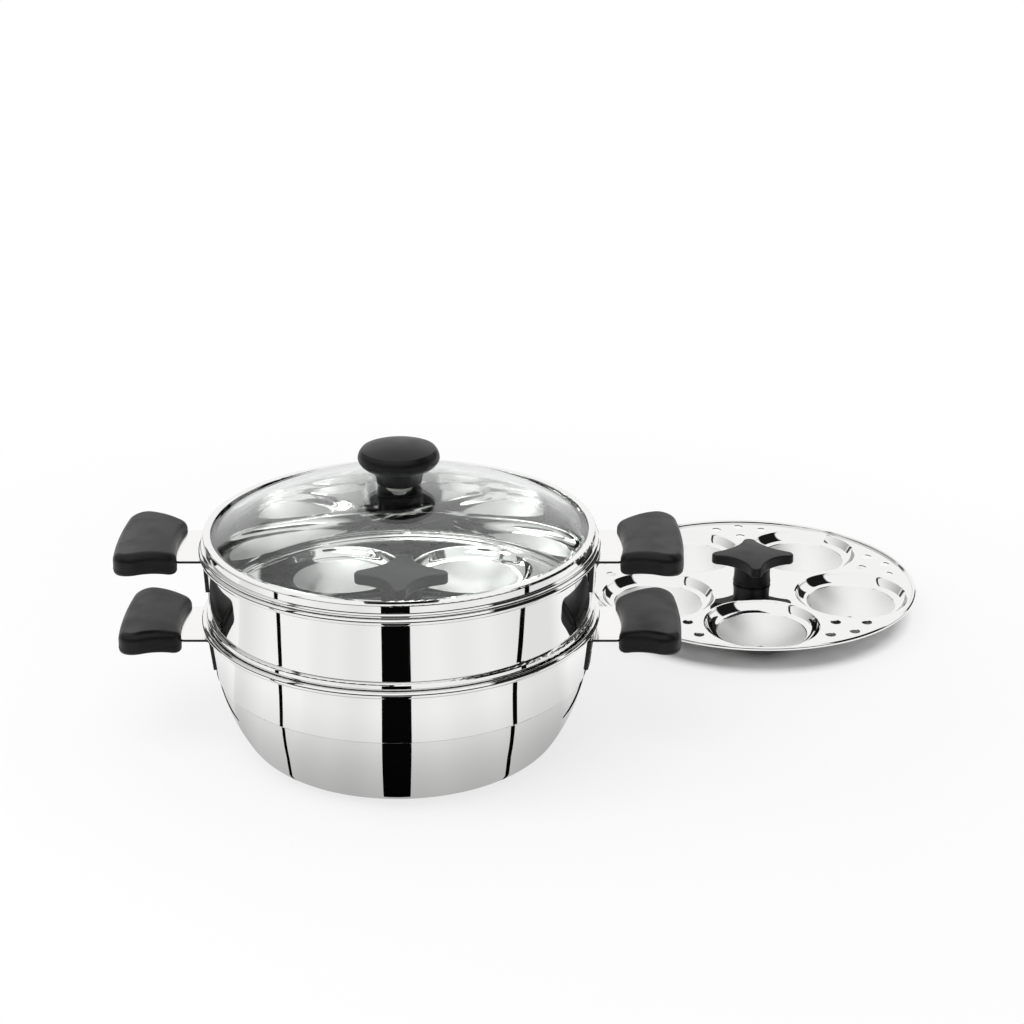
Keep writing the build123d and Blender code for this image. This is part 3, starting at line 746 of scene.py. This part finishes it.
    def lay_floor(self) -> None:
        """Makes the pale floor: it keeps the object's shadow and runs out to pure white. To the mirror steel
        it glows with a painted shadow: greyer right beside the pot, in darker columns round it, and black
        under the second plate, where little light gets in.
        """
        shape = bmesh.new()
        bmesh.ops.create_grid(shape, x_segments=1, y_segments=1, size=self.floor_side / 2)
        bmesh.ops.translate(shape, verts=shape.verts, vec=(0, 0, -self.floor_drop * MM))
        floor = finished("studio_floor", shape)
        made = bpy.data.materials.new("matt white sweep")
        made.use_nodes = True
        tree = made.node_tree
        tree.nodes.clear()
        place = add_node(tree, "TexCoord").outputs["Object"]
        from_pot = self.distance(tree, place, (0, 0, 0))
        spare = (self.spare_middle[0] * MM, self.spare_middle[1] * MM, 0)
        from_spare = self.distance(tree, place, spare)
        open_floor = self.ramp(
            tree, from_spare, (self.spare_radius - self.spare_edge) * MM, self.spare_radius * MM)
        seen_share = self.join(
            tree, "MULTIPLY", self.ramp(tree, from_pot, *self.runs_out, self.near_share, 1.0), open_floor)
        round_pot = add_node(tree, "SeparateXYZ", {0: place})
        angle = self.join(tree, "ARCTAN2", round_pot.outputs[1], round_pot.outputs[0])
        # Painted shade: darker columns round the pot in the floor's glow for mirrors.
        columns = add_node(tree, "TexNoise", {
            "W": angle, "Scale": self.column_pitch, "Detail": 1.0}, noise_dimensions="1D")
        column = self.ramp(tree, columns.outputs[0], *self.column_noise, self.column_level, 1.0)
        painted_floor_shade = self.join(tree, "MULTIPLY", self.ramp(tree, from_pot, *self.painted_pot_shadow_ramp, 1.0), column)
        # Painted shadow for mirrors: grey beside the pot, black under the second plate.
        painted_shade_for_mirrors = self.join(tree, "MULTIPLY", painted_floor_shade, open_floor)
        rays = add_node(tree, "LightPath")
        seen = self.join(
            tree, "MAXIMUM", rays.outputs[Ray.CAMERA.value], rays.outputs[Ray.TRANSMISSION.value])
        share = self.join(
            tree, "MAXIMUM", self.join(tree, "MULTIPLY", seen, seen_share), rays.outputs[Ray.GLOSSY.value])
        light = add_node(tree, "Mix", {0: rays.outputs[Ray.GLOSSY.value], 2: 1.0, 3: painted_shade_for_mirrors})
        paper = add_node(tree, "BsdfDiffuse", {"Color": linear(self.floor_colour)})
        glow = add_node(tree, "Emission", {"Color": (1, 1, 1, 1), "Strength": light.outputs[0]})
        mixed = add_node(tree, "MixShader", {0: share, 1: paper.outputs[0], 2: glow.outputs[0]})
        add_node(tree, "OutputMaterial", {"Surface": mixed.outputs[0]})
        floor.data.materials.append(made)

    def lay_flags(self) -> None:
        """Lays the black cards, which give the white steel its dark lines, as a product studio does."""
        made = bpy.data.materials.new("black flock card")
        made.use_nodes = True
        tree = made.node_tree
        tree.nodes.clear()
        black = add_node(tree, "BsdfDiffuse", {"Color": linear(self.card_colour)})
        add_node(tree, "OutputMaterial", {"Surface": black.outputs[0]})
        for index, flag in enumerate(self.flags):
            card = finished(f"studio_flag_{index}", flag.mesh())
            card.data.materials.append(made)
            card.visible_camera = False
            card.visible_diffuse = False
            card.visible_transmission = False
            card.visible_shadow = False

    def paint_room(self) -> None:
        """Draws the room: white to the camera, plain to diffuse rays, and to mirrors a white room
        with a dark side behind the camera and a few dark openings high at the sides.
        """
        world = bpy.data.worlds.new("white studio")
        bpy.context.scene.world = world
        world.use_nodes = True
        tree = world.node_tree
        tree.nodes.clear()
        towards = add_node(tree, "TexCoord").outputs["Generated"]
        turned = add_node(tree, "VectorMath", {0: towards, 1: self.viewed_along}, operation="SUBTRACT")
        mirror = add_node(tree, "VectorMath", {0: turned.outputs[0]}, operation="NORMALIZE")
        parts = add_node(tree, "SeparateXYZ", {0: mirror.outputs[0]})
        lean = self.join(tree, "ARCCOSINE", parts.outputs[2], 0.0)
        side = self.join(tree, "ARCTAN2", self.join(tree, "MULTIPLY", parts.outputs[1], -1.0),
                         self.join(tree, "MULTIPLY", parts.outputs[0], -1.0))
        shown: Any = 1.0
        for patch in self.patches:
            inside = self.join(tree, "MULTIPLY", self.within(tree, side, patch.sides, patch.softness),
                               self.within(tree, lean, patch.leans, patch.softness))
            first, last = (math.radians(angle) for angle in patch.sides)
            level = self.ramp(tree, side, first, last, *patch.levels)
            shown = add_node(tree, "Mix", {0: inside, 2: shown, 3: level}).outputs[0]
        rays = add_node(tree, "LightPath")
        plain = self.ramp(tree, rays.outputs[Ray.CAMERA.value], 0.0, 1.0, self.room_level, 1.0)
        clear = self.join(tree, "MAXIMUM", plain, rays.outputs[Ray.TRANSMISSION.value])
        level = add_node(tree, "Mix", {0: rays.outputs[Ray.GLOSSY.value], 2: clear, 3: shown})
        sky = add_node(tree, "Background", {"Color": (1, 1, 1, 1), "Strength": level.outputs[0]})
        add_node(tree, "OutputWorld", {"Surface": sky.outputs[0]})

    def hang_lamps(self) -> None:
        """Hangs a large softbox over the front and a smaller one at the left."""
        for name, place, size, power in self.lamps:
            light = bpy.data.lights.new(name, "AREA")
            light.shape = "RECTANGLE"
            light.size, light.size_y = size
            light.energy = power
            lamp = bpy.data.objects.new(name, light)
            lamp.location = place
            lamp.visible_glossy = False
            lamp.rotation_euler = (-Vector(place)).to_track_quat("-Z", "Y").to_euler()
            bpy.context.scene.collection.objects.link(lamp)

    def place_camera(self) -> None:
        """Puts the camera at the photograph's viewing angle."""
        data = bpy.data.cameras.new("camera")
        data.sensor_width = self.sensor_width
        data.lens = self.focal_length
        camera = bpy.data.objects.new("camera", data)
        camera.location = self.camera_place
        camera.rotation_euler = (math.radians(self.camera_tilt), 0, 0)
        bpy.context.scene.collection.objects.link(camera)
        bpy.context.scene.camera = camera
        bpy.context.scene.view_settings.view_transform = "Standard"


def main() -> None:
    """Builds and dresses every sub-assembly in order, then the studio."""
    logging.basicConfig(level=logging.INFO, format="%(message)s")
    finishes: dict[Slot, Finish] = {
        Slot.MIRROR_STEEL: PolishedSteel("stainless steel, mirror buffed", Slot.MIRROR_STEEL),
        Slot.BRACKET_STEEL: SatinSteel("stainless steel, brushed", Slot.BRACKET_STEEL),
        Slot.FASTENER_STEEL: PlatedMetal("steel, zinc plated", Slot.FASTENER_STEEL),
        Slot.BAKELITE: MouldedPhenolic("black phenolic, moulded", Slot.BAKELITE),
        Slot.BRASS: PlatedMetal("brass, turned", Slot.BRASS, colour="#C9A45A"),
        Slot.GLASS: TemperedGlass("glass, toughened", Slot.GLASS),
        Slot.SILICONE: SiliconePad("silicone, moulded", Slot.SILICONE),
    }
    for assembly in (
        Vessel("pot", finishes, creases=(POT_CREASE,)), Vessel("steamer", finishes),
        IdliPlate("top_plate", finishes), IdliPlate("spare_plate", finishes), Lid("lid", finishes),
    ):
        assembly.run()
    low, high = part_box("spare_idli_plate")
    middle = (low + high) / 2 / MM
    Studio(spare_middle=(middle.x, middle.y)).build()


if __name__ == "__main__":
    main()
